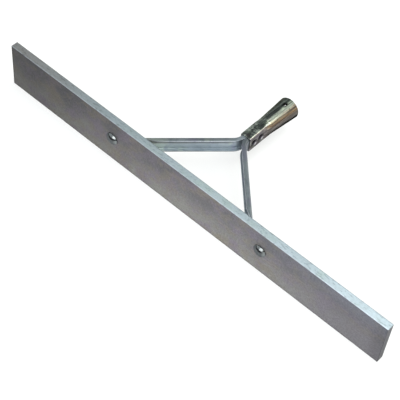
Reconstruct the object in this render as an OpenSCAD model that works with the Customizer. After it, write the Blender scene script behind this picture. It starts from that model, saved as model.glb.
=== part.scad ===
// Head of an asphalt rake: a straight flat blade, a two-legged pressed steel yoke behind it
// and a plated sheet-metal socket for the wooden handle. Millimetres.
// The origin is the middle of the blade's bottom face, X runs along the blade,
// Y points backwards to the handle and Z points up.

/* [Blade] */
// Length of the blade along its working edge
blade_length = 700; // [500:10:1000]
// Height of the blade
blade_height = 80; // [70:1:120]
// Thickness of the blade bar
blade_thickness = 12; // [8:1:20]
// Rounding of the blade's four long edges
blade_edge = 0.8; // [0.3:0.1:2]

/* [Blade bolts] */
// Distance between the two bolts
bolt_spacing = 280; // [270:2:340]
// Height of the bolts, the yoke and the socket above the working edge
bolt_height = 44; // [38:1:50]
// Thread diameter of the bolts
bolt_d = 8; // [6:1:10]
// Diameter of the domed bolt heads
bolt_head_d = 20.6; // [16:0.1:25]
// Height of the domed bolt heads
bolt_head_h = 5.4; // [3:0.1:7]
// Height of the straight rim below the dome of a bolt head
bolt_rim_h = 0.8; // [0.4:0.1:1.5]
// Length of the square neck below a bolt head
neck_length = 5; // [3:0.5:6]
// Length of thread that shows past the nut
thread_past_nut = 5.9; // [2:0.1:12]
// Chamfer at the end of the thread
thread_chamfer = 1; // [0.4:0.1:1.5]

/* [Nuts and washers] */
// Diameter of the flat washers
washer_d = 16; // [15:0.5:19]
// Thickness of the flat washers
washer_h = 1.6; // [1:0.1:2.5]
// Diameter of the spring washers
spring_washer_d = 14.8; // [13:0.1:16]
// Thickness of the spring washers, pressed flat
spring_washer_h = 2; // [1.5:0.1:3]
// Width of the split in the spring washers
spring_split = 1.2; // [0.6:0.1:2]
// Slant of the split in the spring washers, in degrees
spring_split_slant = 20; // [5:1:30]
// Width of the nuts across their flats
nut_across_flats = 13; // [12:0.5:16]
// Height of the nuts
nut_h = 6.5; // [5:0.1:9]
// Slant of the chamfer on the nuts' corners, in degrees
nut_chamfer_slant = 30; // [20:1:40]

/* [Yoke legs] */
// Height of a leg's web
leg_height = 24; // [20:0.5:27]
// Depth of a leg's flanges, from the outside of the web
flange_depth = 7.5; // [5:0.5:8]
// Thickness of the leg's sheet
sheet = 2; // [1.5:0.1:2.5]
// Outside radius of the bends between web and flanges
flange_bend = 3; // [2.6:0.1:4]
// Distance between the bends where the two legs leave the blade
foot_bend_spacing = 232; // [210:1:236]
// Angle between a leg and the blade, in degrees
leg_angle = 45.5; // [38:0.5:52]
// Radius of the bend at the foot, on the leg's outside
foot_bend = 5; // [3:0.5:8]
// Radius of the bend below the socket, on the leg's outside
top_bend = 18; // [15:1:30]
// Length of the foot's straight part past the bolt
foot_tail = 4; // [2:0.5:10]
// Distance from the foot bend at which the flanges begin
flange_start = 15; // [10:1:20]
// Distance from the foot bend at which the flanges have their full depth
flange_full = 37; // [30:1:50]
// Gap between the flange edges of the two legs in the socket
tang_gap = 0.2; // [0.1:0.1:0.6]

/* [Handle socket] */
// Length of the socket, along its axis
socket_length = 102; // [90:1:130]
// Wall of the socket
socket_wall = 1.6; // [1.5:0.1:2.2]
// Length of the socket's square end, which holds the legs
square_length = 30; // [30:1:38]
// Distance from the square end at which the socket is round
round_start = 46; // [44:1:58]
// Outside corner radius of the square end
square_corner = 2.5; // [2.3:0.1:4]
// How far the round part leans down from the square end, in degrees
round_lean = 3; // [0:0.5:6]
// Outside diameter where the round part starts
neck_d = 27.2; // [26:0.2:32]
// Outside diameter at the mouth
mouth_d = 35; // [31:0.5:42]
// Diameter of the hole for the handle's screw
screw_hole_d = 5; // [3:0.5:7]
// Distance from the mouth to the screw hole
screw_hole_inset = 13.5; // [10:0.5:25]

/* [Rivets] */
// Diameter of the rivets
rivet_d = 5; // [4:0.5:6]
// Diameter of the rivet heads
rivet_head_d = 9.5; // [8:0.5:11]
// Height of the rivet heads
rivet_head_h = 2.6; // [1.8:0.1:3.5]
// Height of the straight rim of a rivet head
rivet_rim_h = 0.4; // [0.2:0.1:0.8]
// Distance from the socket's square end to the first rivet
rivet_inset = 9.5; // [7:0.5:11]
// Distance between the rivets
rivet_pitch = 15; // [12:0.5:16]

/* [Fits] */
// Clearance round a bolt in its round holes
bolt_clearance = 0.5; // [0.2:0.1:1]
// Clearance round a bolt's square neck
neck_clearance = 0.2; // [0.1:0.05:0.5]
// Clearance between a bolt and its nut and washers
thread_clearance = 0.1; // [0.05:0.05:0.2]
// Clearance round a rivet in its holes
rivet_clearance = 0.1; // [0.05:0.05:0.3]
// Clearance between the legs and the square end of the socket
tang_clearance = 0.15; // [0.05:0.05:0.3]
// Least clearance between a flat washer and the bend of its foot
bend_clearance = 1; // [0.5:0.1:3]

/* [Hidden] */
$fn = 96;

// Sides of the round forms inside the socket's blend
blend_sides = 32;
// Step that keeps the socket's blend just inside the forms that it joins
blend_step = 0.1;
// How far the blend reaches into the forms that it joins
blend_reach = 0.5;
// Step that keeps a leg's bend just inside the straights that it joins
bend_step = 0.02;
// How far a leg's bend reaches into the straights that it joins
bend_reach = 0.3;
// How far every cut runs past the faces that it opens
overrun = 2;
// Part of the nut's width that its round end faces take
nut_face_share = 0.95;

// Places along Y, from the blade to the handle
back_y = blade_thickness / 2;
foot_y = back_y + sheet;
spring_washer_y = foot_y + washer_h;
nut_y = spring_washer_y + spring_washer_h;
bolt_end_y = nut_y + nut_h + thread_past_nut;

// The legs, seen from above
foot_bend_x = foot_bend_spacing / 2;
tang_x = flange_depth + tang_gap / 2;
top_turn = 90 - leg_angle;
foot_tangent = foot_bend * tan(leg_angle / 2);
top_tangent = top_bend * tan(top_turn / 2);
leg_length = (foot_bend_x - tang_x) / cos(leg_angle);
rim_y = foot_y + (foot_bend_x - tang_x) * tan(leg_angle) + top_tangent;
foot_flat_x = foot_bend_x + foot_tangent;
bolt_x = max(bolt_spacing / 2, foot_flat_x + bend_clearance + washer_d / 2);
foot_round_x = bolt_x + foot_tail;

// The square end of the socket, which fits over both legs
square_w = 2 * (tang_x + tang_clearance + socket_wall);
square_h = leg_height + 2 * (tang_clearance + socket_wall);

// Turns a form that points up so that it points backwards
module backwards() {
    rotate([-90, 0, 0])
        children();
}

// Runs a flat outline along X: the outline's x becomes Y and its y becomes Z
module along(length) {
    rotate([90, 0, 90])
        linear_extrude(length)
            children();
}

// Rectangle about the origin with round corners
module rounded_rectangle(size, radius) {
    square([size.x - 2 * radius, size.y], center = true);
    square([size.x, size.y - 2 * radius], center = true);
    for (side_x = [-1, 1], side_y = [-1, 1])
        translate([side_x * (size.x / 2 - radius), side_y * (size.y / 2 - radius)])
            circle(radius);
}

// Rectangle from x = 0 to its depth, with round corners at x = 0
module one_sided_rectangle(depth, height, radius) {
    translate([radius, -height / 2])
        square([depth - radius, height]);
    translate([0, radius - height / 2])
        square([depth, height - 2 * radius]);
    for (side = [-1, 1])
        translate([radius, side * (height / 2 - radius)])
            circle(radius);
}

// Section of a leg, thinned by an inset: a channel with the outside of its web at x = 0
module channel_section(inset = 0) {
    difference() {
        translate([inset, 0])
            one_sided_rectangle(flange_depth - 2 * inset, leg_height - 2 * inset, flange_bend - inset);
        translate([sheet - inset, 0])
            one_sided_rectangle(flange_depth, leg_height - 2 * (sheet - inset), flange_bend - sheet + inset);
    }
}

// The web of that channel alone
module web_section(inset = 0) {
    intersection() {
        channel_section(inset);
        translate([0, -leg_height / 2])
            square([sheet - inset, leg_height]);
    }
}

// Carries a section round a bend that turns left from a heading, with its centre at the origin
module bend(radius, heading, turn) {
    reach = bend_reach / radius * 180 / PI;
    rotate([0, 0, heading - 90 - reach])
        rotate_extrude(angle = turn + 2 * reach)
            translate([radius, 0])
                children();
}

// Domed head that stands up from the origin
module domed_head(diameter, height, rim) {
    dome = height - rim;
    radius = (pow(diameter / 2, 2) + pow(dome, 2)) / (2 * dome);
    rotate_extrude() {
        square([diameter / 2, rim]);
        intersection() {
            translate([0, height - radius])
                circle(radius);
            translate([0, rim])
                square([diameter / 2, dome]);
        }
    }
}

// Flat ring that stands up from the origin
module ring(outside_d, inside_d, height) {
    linear_extrude(height)
        difference() {
            circle(d = outside_d);
            circle(d = inside_d);
        }
}

// Solid bar with a square pocket for each bolt's neck and a round hole behind it
module blade() {
    color("darkgray")
        difference() {
            translate([-blade_length / 2, 0, blade_height / 2])
                along(blade_length)
                    rounded_rectangle([blade_thickness, blade_height], blade_edge);
            for (side = [-1, 1])
                translate([side * bolt_x, -back_y, bolt_height])
                    backwards() {
                        cylinder(h = blade_thickness + overrun, d = bolt_d + 2 * bolt_clearance);
                        translate([0, 0, neck_length / 2 - overrun / 2])
                            cube([bolt_d + 2 * neck_clearance, bolt_d + 2 * neck_clearance,
                                  neck_length + neck_clearance + overrun], center = true);
                    }
        }
}

// Part of the straight channel where its flanges are cut away towards the foot
module flange_cut() {
    translate([0, 0, -leg_height / 2 - overrun])
        linear_extrude(leg_height + 2 * overrun)
            polygon([
                [0, -sheet],
                [flange_start, -sheet],
                [flange_full, -flange_depth],
                [flange_full, -flange_depth - overrun],
                [0, -flange_depth - overrun]
            ]);
}

// Flat foot with a round end, from its tip to the foot bend
module leg_foot() {
    intersection() {
        translate([-foot_round_x - leg_height / 2, foot_y, 0])
            along(foot_round_x + leg_height / 2 - foot_flat_x)
                mirror([1, 0])
                    web_section();
        translate([-foot_round_x, back_y - overrun, 0])
            backwards() {
                cylinder(h = sheet + 2 * overrun, d = leg_height);
                translate([0, -leg_height / 2 - overrun, 0])
                    cube([foot_round_x, leg_height + 2 * overrun, sheet + 2 * overrun]);
            }
    }
}

// Left leg with the bolts' height as its zero: foot, bend, straight channel, bend and tang
module leg() {
    difference() {
        union() {
            leg_foot();
            translate([-foot_flat_x, foot_y + foot_bend, 0])
                bend(foot_bend, 0, leg_angle)
                    web_section(bend_step);
            translate([-foot_bend_x, foot_y, 0])
                rotate([0, 0, leg_angle])
                    difference() {
                        translate([foot_tangent, 0, 0])
                            along(leg_length - foot_tangent - top_tangent)
                                mirror([1, 0])
                                    channel_section();
                        flange_cut();
                    }
            translate([-tang_x - top_bend, rim_y, 0])
                bend(top_bend, leg_angle, top_turn)
                    channel_section(bend_step);
            translate([-tang_x, rim_y, 0])
                rotate([0, 0, 90])
                    along(square_length)
                        mirror([1, 0])
                            channel_section();
        }
        translate([-bolt_x, back_y - overrun, 0])
            backwards()
                cylinder(h = sheet + 2 * overrun, d = bolt_d + 2 * bolt_clearance);
        rivet_holes();
    }
}

// Holes for both rivets through everything that they join
module rivet_holes() {
    for (place = [0, 1])
        translate([-square_w / 2 - overrun, rim_y + rivet_inset + place * rivet_pitch, 0])
            rotate([0, 90, 0])
                cylinder(h = square_w + 2 * overrun, d = rivet_d + 2 * rivet_clearance);
}

module left_leg() {
    color("lightslategray")
        translate([0, 0, bolt_height])
            leg();
}

module right_leg() {
    color("lightslategray")
        mirror([1, 0, 0])
            translate([0, 0, bolt_height])
                leg();
}

// Puts a form on the leaning axis of the round part, at a distance along it from the square end's rim
module leaning(distance) {
    translate([0, 0, square_length])
        rotate([-round_lean, 0, 0])
            translate([0, 0, distance - square_length])
                children();
}

// Form of the socket, pointing up, drawn in from its outside by an inset
module socket_form(inset) {
    size = [square_w - 2 * inset, square_h - 2 * inset];
    corner = square_corner - inset;
    linear_extrude(square_length)
        rounded_rectangle(size, corner);
    hull($fn = blend_sides) {
        translate([0, 0, square_length - blend_reach])
            linear_extrude(blend_reach)
                rounded_rectangle([size.x - 2 * blend_step, size.y - 2 * blend_step], corner,
                                  $fn = blend_sides);
        leaning(round_start)
            cylinder(h = blend_reach, d = neck_d - 2 * (inset + blend_step), $fn = blend_sides);
    }
    leaning(round_start)
        cylinder(h = socket_length - round_start, d1 = neck_d - 2 * inset, d2 = mouth_d - 2 * inset);
}

// Sheet-metal socket: square over the legs, round, flared and leaning for the handle
module handle_socket() {
    color("silver")
        translate([0, 0, bolt_height])
            difference() {
                translate([0, rim_y, 0])
                    backwards()
                        socket_form(0);
                translate([0, rim_y, 0])
                    backwards() {
                        socket_form(socket_wall);
                        translate([0, 0, -overrun])
                            linear_extrude(2 * overrun)
                                rounded_rectangle([square_w - 2 * socket_wall, square_h - 2 * socket_wall],
                                                  square_corner - socket_wall);
                        leaning(socket_length)
                            cylinder(h = overrun, d = mouth_d - 2 * socket_wall);
                        leaning(socket_length - screw_hole_inset)
                            rotate([90, 0, 0])
                                cylinder(h = mouth_d, d = screw_hole_d);
                    }
                rivet_holes();
            }
}

// Rivet through the socket and both legs, with a domed head on each side
module rivet(place) {
    color("dimgray")
        translate([0, rim_y + rivet_inset + place * rivet_pitch, bolt_height]) {
            rotate([0, 90, 0])
                cylinder(h = square_w, d = rivet_d, center = true);
            for (side = [-1, 1])
                translate([side * square_w / 2, 0, 0])
                    rotate([0, side * 90, 0])
                        domed_head(rivet_head_d, rivet_head_h, rivet_rim_h);
        }
}

module lower_rivet() {
    rivet(0);
}

module upper_rivet() {
    rivet(1);
}

// Bolt with a domed head, a square neck and a plain shank with a chamfered end
module blade_bolt(side) {
    shank = bolt_end_y + back_y;
    color("gainsboro")
        translate([side * bolt_x, -back_y, bolt_height]) {
            rotate([90, 0, 0])
                domed_head(bolt_head_d, bolt_head_h, bolt_rim_h);
            backwards() {
                translate([0, 0, neck_length / 2])
                    cube([bolt_d, bolt_d, neck_length], center = true);
                cylinder(h = shank - thread_chamfer, d = bolt_d);
                translate([0, 0, shank - thread_chamfer])
                    cylinder(h = thread_chamfer, d1 = bolt_d, d2 = bolt_d - 2 * thread_chamfer);
            }
        }
}

module left_bolt() {
    blade_bolt(-1);
}

module right_bolt() {
    blade_bolt(1);
}

// Flat washer on the back of a foot
module flat_washer(side) {
    color("silver")
        translate([side * bolt_x, foot_y, bolt_height])
            backwards()
                ring(washer_d, bolt_d + 2 * thread_clearance, washer_h);
}

module left_washer() {
    flat_washer(-1);
}

module right_washer() {
    flat_washer(1);
}

// Split ring on the flat washer, with its slanted split on top
module spring_washer(side) {
    color("gray")
        translate([side * bolt_x, spring_washer_y, bolt_height])
            backwards()
                difference() {
                    ring(spring_washer_d, bolt_d + 2 * thread_clearance, spring_washer_h);
                    translate([0, -spring_washer_d / 2, spring_washer_h / 2])
                        rotate([0, spring_split_slant, 0])
                            cube([spring_split, spring_washer_d, spring_washer_h + 2 * overrun], center = true);
                }
}

module left_spring_washer() {
    spring_washer(-1);
}

module right_spring_washer() {
    spring_washer(1);
}

// Hexagon nut with chamfered corners
module nut(side) {
    corner_r = nut_across_flats / 2 / cos(30);
    face_r = nut_face_share * nut_across_flats / 2;
    chamfer_h = (corner_r - face_r) * tan(nut_chamfer_slant);
    color("silver")
        translate([side * bolt_x, nut_y, bolt_height])
            backwards()
                difference() {
                    intersection() {
                        cylinder(h = nut_h, r = corner_r, $fn = 6);
                        rotate_extrude()
                            polygon([
                                [0, 0],
                                [face_r, 0],
                                [corner_r, chamfer_h],
                                [corner_r, nut_h - chamfer_h],
                                [face_r, nut_h],
                                [0, nut_h]
                            ]);
                    }
                    translate([0, 0, -overrun])
                        cylinder(h = nut_h + 2 * overrun, d = bolt_d + 2 * thread_clearance);
                }
}

module left_nut() {
    nut(-1);
}

module right_nut() {
    nut(1);
}

blade();
left_leg();
right_leg();
handle_socket();
lower_rivet();
upper_rivet();
left_bolt();
right_bolt();
left_washer();
right_washer();
left_spring_washer();
right_spring_washer();
left_nut();
right_nut();
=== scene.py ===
from math import asin, cos, pi, radians, sin, tan

import bmesh
import bpy
import numpy as np
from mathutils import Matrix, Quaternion, Vector


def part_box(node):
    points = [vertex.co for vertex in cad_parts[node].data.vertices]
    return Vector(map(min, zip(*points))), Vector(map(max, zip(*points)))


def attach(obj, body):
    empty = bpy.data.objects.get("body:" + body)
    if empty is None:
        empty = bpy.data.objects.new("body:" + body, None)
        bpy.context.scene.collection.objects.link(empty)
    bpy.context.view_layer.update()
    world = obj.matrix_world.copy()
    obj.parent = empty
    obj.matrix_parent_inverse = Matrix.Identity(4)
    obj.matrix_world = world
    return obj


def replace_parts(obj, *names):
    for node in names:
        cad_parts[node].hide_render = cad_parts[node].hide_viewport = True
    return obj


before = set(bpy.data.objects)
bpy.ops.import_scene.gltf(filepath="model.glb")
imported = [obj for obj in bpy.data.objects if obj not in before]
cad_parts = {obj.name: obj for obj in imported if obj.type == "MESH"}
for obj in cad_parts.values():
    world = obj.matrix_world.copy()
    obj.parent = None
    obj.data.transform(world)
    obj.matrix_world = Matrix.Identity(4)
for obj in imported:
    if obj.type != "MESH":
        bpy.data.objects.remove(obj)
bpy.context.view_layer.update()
mm = 0.001  # shapes are worked out in millimetres, and meshes, finishes and the stage are in metres
white = (1, 1, 1, 1)
print("frame:", len(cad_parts), "nodes")


# lowest corner, highest corner and middle of a CAD node, in millimetres
def nodeBox(node):
    low, high = (np.array(corner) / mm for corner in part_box(node))
    return low, high, (low + high) / 2


cameraSettings = {
    "eye": (0.6487, -0.8224, 1.3713),  # metres
    "aim": (0.0226, 0.0036, 0.0400),
    "roll": 6.31,  # degrees
    "lens": 108.8,  # on a 36 mm sensor, for a square picture
}


def makeCamera(s):
    data = bpy.data.cameras.new("photoCamera")
    data.lens = s["lens"]
    camera = bpy.data.objects.new("photoCamera", data)
    bpy.context.scene.collection.objects.link(camera)
    look = Vector(s["aim"]) - Vector(s["eye"])
    roll = Quaternion((0, 0, 1), radians(s["roll"]))
    camera.rotation_mode = "QUATERNION"
    camera.rotation_quaternion = look.to_track_quat("-Z", "Y") @ roll
    camera.location = s["eye"]
    bpy.context.scene.camera = camera


makeCamera(cameraSettings)
print("camera: placed")


# shader maths

class Shade:
    # one socket of a node tree; sums and products of shades and numbers add Math nodes
    def __init__(self, tree, socket=None):
        self.tree, self.socket = tree, socket

    # adds any node: its type, its settings, its sockets by name or number and the output to use
    def node(self, kind, settings=None, sockets=None, out=0):
        made = self.tree.nodes.new("ShaderNode" + kind)
        for key, value in (settings or {}).items():
            setattr(made, key, value)
        for key, value in (sockets or {}).items():
            if isinstance(value, Shade):
                self.tree.links.new(value.socket, made.inputs[key])
            else:
                made.inputs[key].default_value = value
        return Shade(self.tree, made.outputs[out] if made.outputs else None)

    def maths(self, operation, first, second):
        return self.node("Math", {"operation": operation}, {0: first, 1: second})

    def __add__(self, other):
        return self.maths("ADD", self, other)

    def __radd__(self, other):
        return self.maths("ADD", other, self)

    def __sub__(self, other):
        return self.maths("SUBTRACT", self, other)

    def __rsub__(self, other):
        return self.maths("SUBTRACT", other, self)

    def __mul__(self, other):
        return self.maths("MULTIPLY", self, other)

    def __rmul__(self, other):
        return self.maths("MULTIPLY", other, self)


# a new material, its object coordinates and those coordinates one by one
def startFinish(name):
    material = bpy.data.materials.new(name)
    material.use_nodes = True
    material.node_tree.nodes.clear()
    place = Shade(material.node_tree).node("TexCoord", out=3)
    return material, place, [place.node("SeparateXYZ", {}, {0: place}, axis) for axis in range(3)]


# cloudy noise from 0 to 1, with so many features a metre, drawn out along some axes
def cloud(place, scale, detail, stretch=None):
    if stretch:
        place = place.node("Mapping", {}, {"Vector": place, "Scale": stretch})
    return place.node("TexNoise", {}, {"Vector": place, "Scale": scale, "Detail": detail})


# soft step from 0 to 1 between two values
def step(value, low, high):
    limits = {"Value": value, "From Min": low, "From Max": high}
    return value.node("MapRange", {"interpolation_type": "SMOOTHSTEP"}, limits)


# patches of that noise, which show from one of its values and are full at another
def patchy(place, scale, detail, limits, stretch=None):
    return step(cloud(place, scale, detail, stretch), *limits)


# a plain share plus a share of each value
def weigh(shares, *values):
    return sum((share * value for share, value in zip(shares[1:], values)), shares[0])


# colour between two colours
def blend(factor, first, second):
    return factor.node("Mix", {"data_type": "RGBA"}, {0: factor, 6: first, 7: second}, 2)


# colour times a grey value
def shadeBy(colour, grey):
    return grey.node("VectorMath", {"operation": "SCALE"}, {0: colour, "Scale": grey})


# value that a piece stores at its points under that name
def mark(place, name):
    return place.node("Attribute", {"attribute_name": name}, out="Fac")


# tint with stains: each has its colour's name, its share, its patches and, if it keeps to one side, where
# along X it starts and is full
def stained(place, x, tint, s):
    for name, share, patches, *sides in s["stains"]:
        shown = share * patchy(place, *patches)
        for start, full in sides:
            shown = shown * step(x, start, full)
        tint = blend(shown, tint, s[name])
    return tint


# metal surface with a bump's strength and depth, wired to the output; edge is the tint of grazing light
def endFinish(material, s, colour, roughness, height):
    strength, depth = s["bump"]
    normal = height.node("Bump", {}, {"Strength": strength, "Distance": depth, "Height": height})
    sockets = {"Base Color": colour, "Metallic": s.get("metallic", 1.0), "Roughness": roughness,
               "Normal": normal, "Specular Tint": s.get("edge", white)}
    surface = height.node("BsdfPrincipled", {}, sockets)
    surface.node("OutputMaterial", {}, {"Surface": surface})
    return material


# two distances inward from the blade's right end, back or top, as places along that axis
def bladePlaces(axis, depths):
    return [nodeBox("blade")[1][axis] * mm - depth for depth in depths]


topFinishAndLight = {
    "left": (0.43, 0.43, 0.44, 1),
    "face": (0.435, 0.500, 0.545, 1),
    "leftPlaces": (-0.34, -0.12),  # along X, where left turns into face
    "green": (0.395, 0.475, 0.465, 1),
    "stains": [("green", 0.6, (30, 3, (0.48, 0.64)), (-0.2, 0))],
    "paintedHighlight": (0.52, 0.56, 0.62, 1),  # painted highlight along the front edge
    "highlightShare": 0.6,
    "edgeDepths": (0.0020, 0.0006),  # from the front and the back
    "backLoss": 0.25,  # share of the tone that the back edge loses
    "riseShares": (0.62, 0.18, 0.14),  # plain, and what each rise adds
    "rises": [(-0.33, 0.10), (0.10, 0.37)],  # along X; each rise is painted light that brightens the top to the right
    "clouds": (13, 2),
    "grainShares": (0.52, 0.36, 0.30, 0.36),  # plain, lines, flecks and clouds
    "scrapes": (1, 3, (0.54, 0.66), (130, 380, 380)),
    "scrapeLoss": 0.24,
}


# top face, lighter than the front as painted light: grey on the left, bluer and lighter to the right as
# painted light, green in places, with a painted highlight along the front edge, a dark back edge and scrapes
def topColour(s, place, x, y, lines, flecks):
    front, back = ([side * edge for edge in bladePlaces(1, s["edgeDepths"])] for side in (-1, 1))
    tint = stained(place, x, blend(step(x, *s["leftPlaces"]), s["left"], s["face"]), s)
    tint = blend(s["highlightShare"] * step(y, *front), tint, s["paintedHighlight"])
    tone = weigh(s["riseShares"], *(step(x, *places) for places in s["rises"]))
    tone = tone * weigh(s["grainShares"], lines, flecks, cloud(place, *s["clouds"]))
    tone = tone * (1 - s["backLoss"] * step(y, *back))
    return shadeBy(tint, tone * (1 - s["scrapeLoss"] * patchy(place, *s["scrapes"])))


barFinish = {
    "low": (0.272, 0.270, 0.256, 1),  # lower part of the front, lighter than the upper part: a painted reflection
    "high": (0.166, 0.162, 0.174, 1),
    "riseHeights": (0.008, 0.066),  # where low turns into high
    "riseSpread": 0.05,
    "patches": (24, 5),
    "violet": (0.230, 0.202, 0.247, 1),
    "brown": (0.245, 0.222, 0.186, 1),
    "stains": [
        ("violet", 0.7, (33, 3, (0.50, 0.66))),
        ("brown", 0.7, (21, 3, (0.52, 0.68), (1, 1, 1.6))),
        ("violet", 0.45, (85, 2, (0.50, 0.62))),
        ("brown", 0.45, (70, 2, (0.52, 0.64), (1, 1, 1.3))),
    ],
    "blue": (0.186, 0.194, 0.232, 1),
    "lilac": (0.272, 0.262, 0.292, 1),
    # parts of the right half: colour, share, and where it starts and is full along X and Z
    "parts": [("blue", 0.7, (0.02, 0.30), (0.040, 0.075)), ("lilac", 0.8, (0.10, 0.33), (0.060, 0.030))],
    "lines": (1, 2, (14, 900, 900)),
    "flecks": (340, 4),
    "toneShares": (0.42, 0.24, 0.90),  # plain, lines and flecks
    "leftTone": 0.38,  # share of the tone that is left at the left end, darkened as painted shade
    "leftPlaces": (-0.38, 0.06),
    "rightLoss": 0.32,  # share of the tone that the right end loses, most of it low down
    "rightPlaces": (0.08, 0.36),
    "rightShares": (0.30, 0.70),  # plain and low
    "rightHeights": (0.075, 0.035),
    "rimLoss": 0.45,  # painted shade along the left end
    "rimDepths": (0.0028, 0.0008),  # from that end
    "endLoss": 0.20,  # near the right end
    "endDepths": (0.028, 0.004),
    "edgeHeights": (0.022, 0.004),  # where specks and scours start and are full
    "specks": (330, 2, (0.60, 0.70)),
    "speckLoss": 0.22,
    "scours": (1, 2, (0.58, 0.70), (120, 900, 420)),
    "scourGain": 0.22,
    # painted contact shade along the bottom edge: its noise, the heights where it starts and is full, its
    # spread and share
    "bottomShade": (240, 3),
    "bottomShadeHeights": (0.0042, 0.0016),
    "bottomShadeSpread": 0.0022,
    "bottomShadeLoss": 0.55,
    "sawn": (0.145, 0.143, 0.160, 1),
    "sawnDepths": (0.00075, 0.00035),  # from the ends
    "sawMarks": (1, 2, (10, 60, 2400)),
    "topDepths": (0.0010, 0.0003),  # from the top
    "roughShares": (0.50, 0.14, 0.12, 0.10),  # plain, lines, patches and top
    "fleckHeight": 0.5,
    "bump": (0.25, 0.00015),
}


# share of the front's tone that is left: less towards the ends, under painted shade and in specks, more where
# it is scoured
def barWearAndShade(s, place, x, z):
    # painted shade darkens the front towards the left end, along that end and along the bottom edge
    left = s["leftTone"] + (1 - s["leftTone"]) * step(x, *s["leftPlaces"])
    low = weigh(s["rightShares"], step(z, *s["rightHeights"]))
    right = s["rightLoss"] * step(x, *s["rightPlaces"]) * low
    rim = s["rimLoss"] * step(x, *(-end for end in bladePlaces(0, s["rimDepths"])))
    end = s["endLoss"] * step(x, *bladePlaces(0, s["endDepths"]))
    nearEdge = step(z, *s["edgeHeights"])
    specks = s["speckLoss"] * nearEdge * patchy(place, *s["specks"])
    scours = s["scourGain"] * nearEdge * patchy(place, *s["scours"])
    bottomShade = s["bottomShadeLoss"] * step(z + s["bottomShadeSpread"] * cloud(place, *s["bottomShade"]), *s["bottomShadeHeights"])
    return left * (1 - right) * (1 - rim) * (1 - end) * (1 - bottomShade) * (1 - specks) * (1 + scours)


# rolled bar: cloudy tints, rolling lines and flecks, a top face lighter than the front as painted light, saw
# marks on the ends
def makeBarFinish(s):
    material, place, (x, y, z) = startFinish("rolledBar")
    patches = cloud(place, *s["patches"])
    lines = cloud(place, *s["lines"])
    flecks = cloud(place, *s["flecks"])
    # the front turns from low to high going up: a painted reflection, lighter low down
    tint = blend(step(z + s["riseSpread"] * (patches - 0.5), *s["riseHeights"]), s["low"], s["high"])
    tint = stained(place, x, tint, s)
    for name, share, places, heights in s["parts"]:
        tint = blend(share * step(x, *places) * step(z, *heights), tint, s[name])
    ends = step(x * x, *(end ** 2 for end in bladePlaces(0, s["sawnDepths"])))
    tint = blend(ends, tint, s["sawn"])
    tone = weigh(s["toneShares"], lines, flecks) * barWearAndShade(s, place, x, z)
    # the top face takes its own lighter colours and the front darker ones: painted light and painted shade on
    # one metal
    top = step(z, *bladePlaces(2, s["topDepths"]))
    colour = blend(top, shadeBy(tint, tone), topColour(topFinishAndLight, place, x, y, lines, flecks))
    roughness = weigh(s["roughShares"], lines - 0.5, patches - 0.5, top)
    height = lines + s["fleckHeight"] * flecks + ends * cloud(place, *s["sawMarks"])
    return endFinish(material, s, colour, roughness, height)


zincFinish = {
    "dark": (0.335, 0.392, 0.445, 1),
    "light": (0.490, 0.550, 0.600, 1),
    "lightShares": (-0.2, 0.5, 0.9),  # plain, crystals and patches
    "crystals": 190.0,  # a metre
    "patches": (55, 4),
    "grain": (1400, 2),
    "lines": (1, 2, (60, 60, 900)),
    "violet": (0.355, 0.365, 0.475, 1),
    "green": (0.520, 0.600, 0.560, 1),
    "pale": (0.62, 0.71, 0.68, 1),
    "stains": [
        ("violet", 0.8, (42, 3, (0.52, 0.64))),
        ("green", 0.8, (34, 3, (0.52, 0.64), (1, 1.3, 1)), (0.01, -0.01)),  # on the left leg
        ("pale", 1.0, (60, 3, (0.36, 0.56)), (-0.060, -0.090)),  # painted highlight towards the left foot
    ],
    "paintedHighlight": (0.62, 0.67, 0.72, 1),  # painted highlight along the flanges' edges
    "highlightShare": 0.85,
    "highlightPatches": (160, 3, (0.30, 0.50)),
    "toneShares": (0.75, 0.2, 0.3),  # plain, grain and lines
    "flangeShadeLoss": 0.62,  # share of the tone that the inside loses under a flange to painted shade
    "outsideShadeLoss": 0.64,  # share that the outside of a flange loses to painted shade
    "yokeStart": (0.022, 0.004),  # in front of the socket, where the legs meet
    "yokeShade": 0.45,  # share that the right leg loses there to painted shade
    "yokeLight": (1.0, 0.25),  # shares of the painted shade inside and outside the flanges that the left leg misses there
    "rightSide": (-0.002, 0.004),  # places along X
    "roughShares": (0.36, 0.18, 0.06, -0.08),  # plain, patches, crystals and the edges' painted highlight
    "crystalHeight": 0.4,
    "bump": (0.18, 0.0001),
    "metallic": 0.65,
}


# hot-dip zinc: crystals, cloudy stains, lines along the leg and grain; the flanges' edges take a painted
# highlight, while their outsides, the inside under a flange and the right leg where the legs meet take
# painted shade
def makeZincFinish(s):
    material, place, (x, y, _) = startFinish("dippedZinc")
    crystals = place.node("TexVoronoi", {}, {"Vector": place, "Scale": s["crystals"]}, 1)
    crystal = crystals.node("SeparateColor", {}, {0: crystals})
    patches = cloud(place, *s["patches"])
    grain = cloud(place, *s["grain"])
    highlight, flangeShade, outsideShade = (mark(place, name) for name in ("highlight", "flangeShade", "outsideShade"))
    tint = blend(weigh(s["lightShares"], crystal, patches), s["dark"], s["light"])
    tint = stained(place, x, tint, s)
    tint = blend(s["highlightShare"] * highlight * patchy(place, *s["highlightPatches"]), tint, s["paintedHighlight"])
    rim = nodeBox("handle_socket")[0][1] * mm
    yoke = step(y, *(rim - away for away in s["yokeStart"]))
    right = step(x, *s["rightSide"])
    lessFlangeShade, lessOutsideShade = (1 - share * yoke * (1 - right) for share in s["yokeLight"])
    tone = weigh(s["toneShares"], grain, cloud(place, *s["lines"])) * (1 - s["yokeShade"] * yoke * right)
    tone = tone * (1 - s["flangeShadeLoss"] * flangeShade * lessFlangeShade) * (1 - s["outsideShadeLoss"] * outsideShade * lessOutsideShade)
    roughness = weigh(s["roughShares"], patches - 0.5, crystal, highlight)
    height = s["crystalHeight"] * crystal + grain
    return endFinish(material, s, shadeBy(tint, tone), roughness, height)


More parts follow.
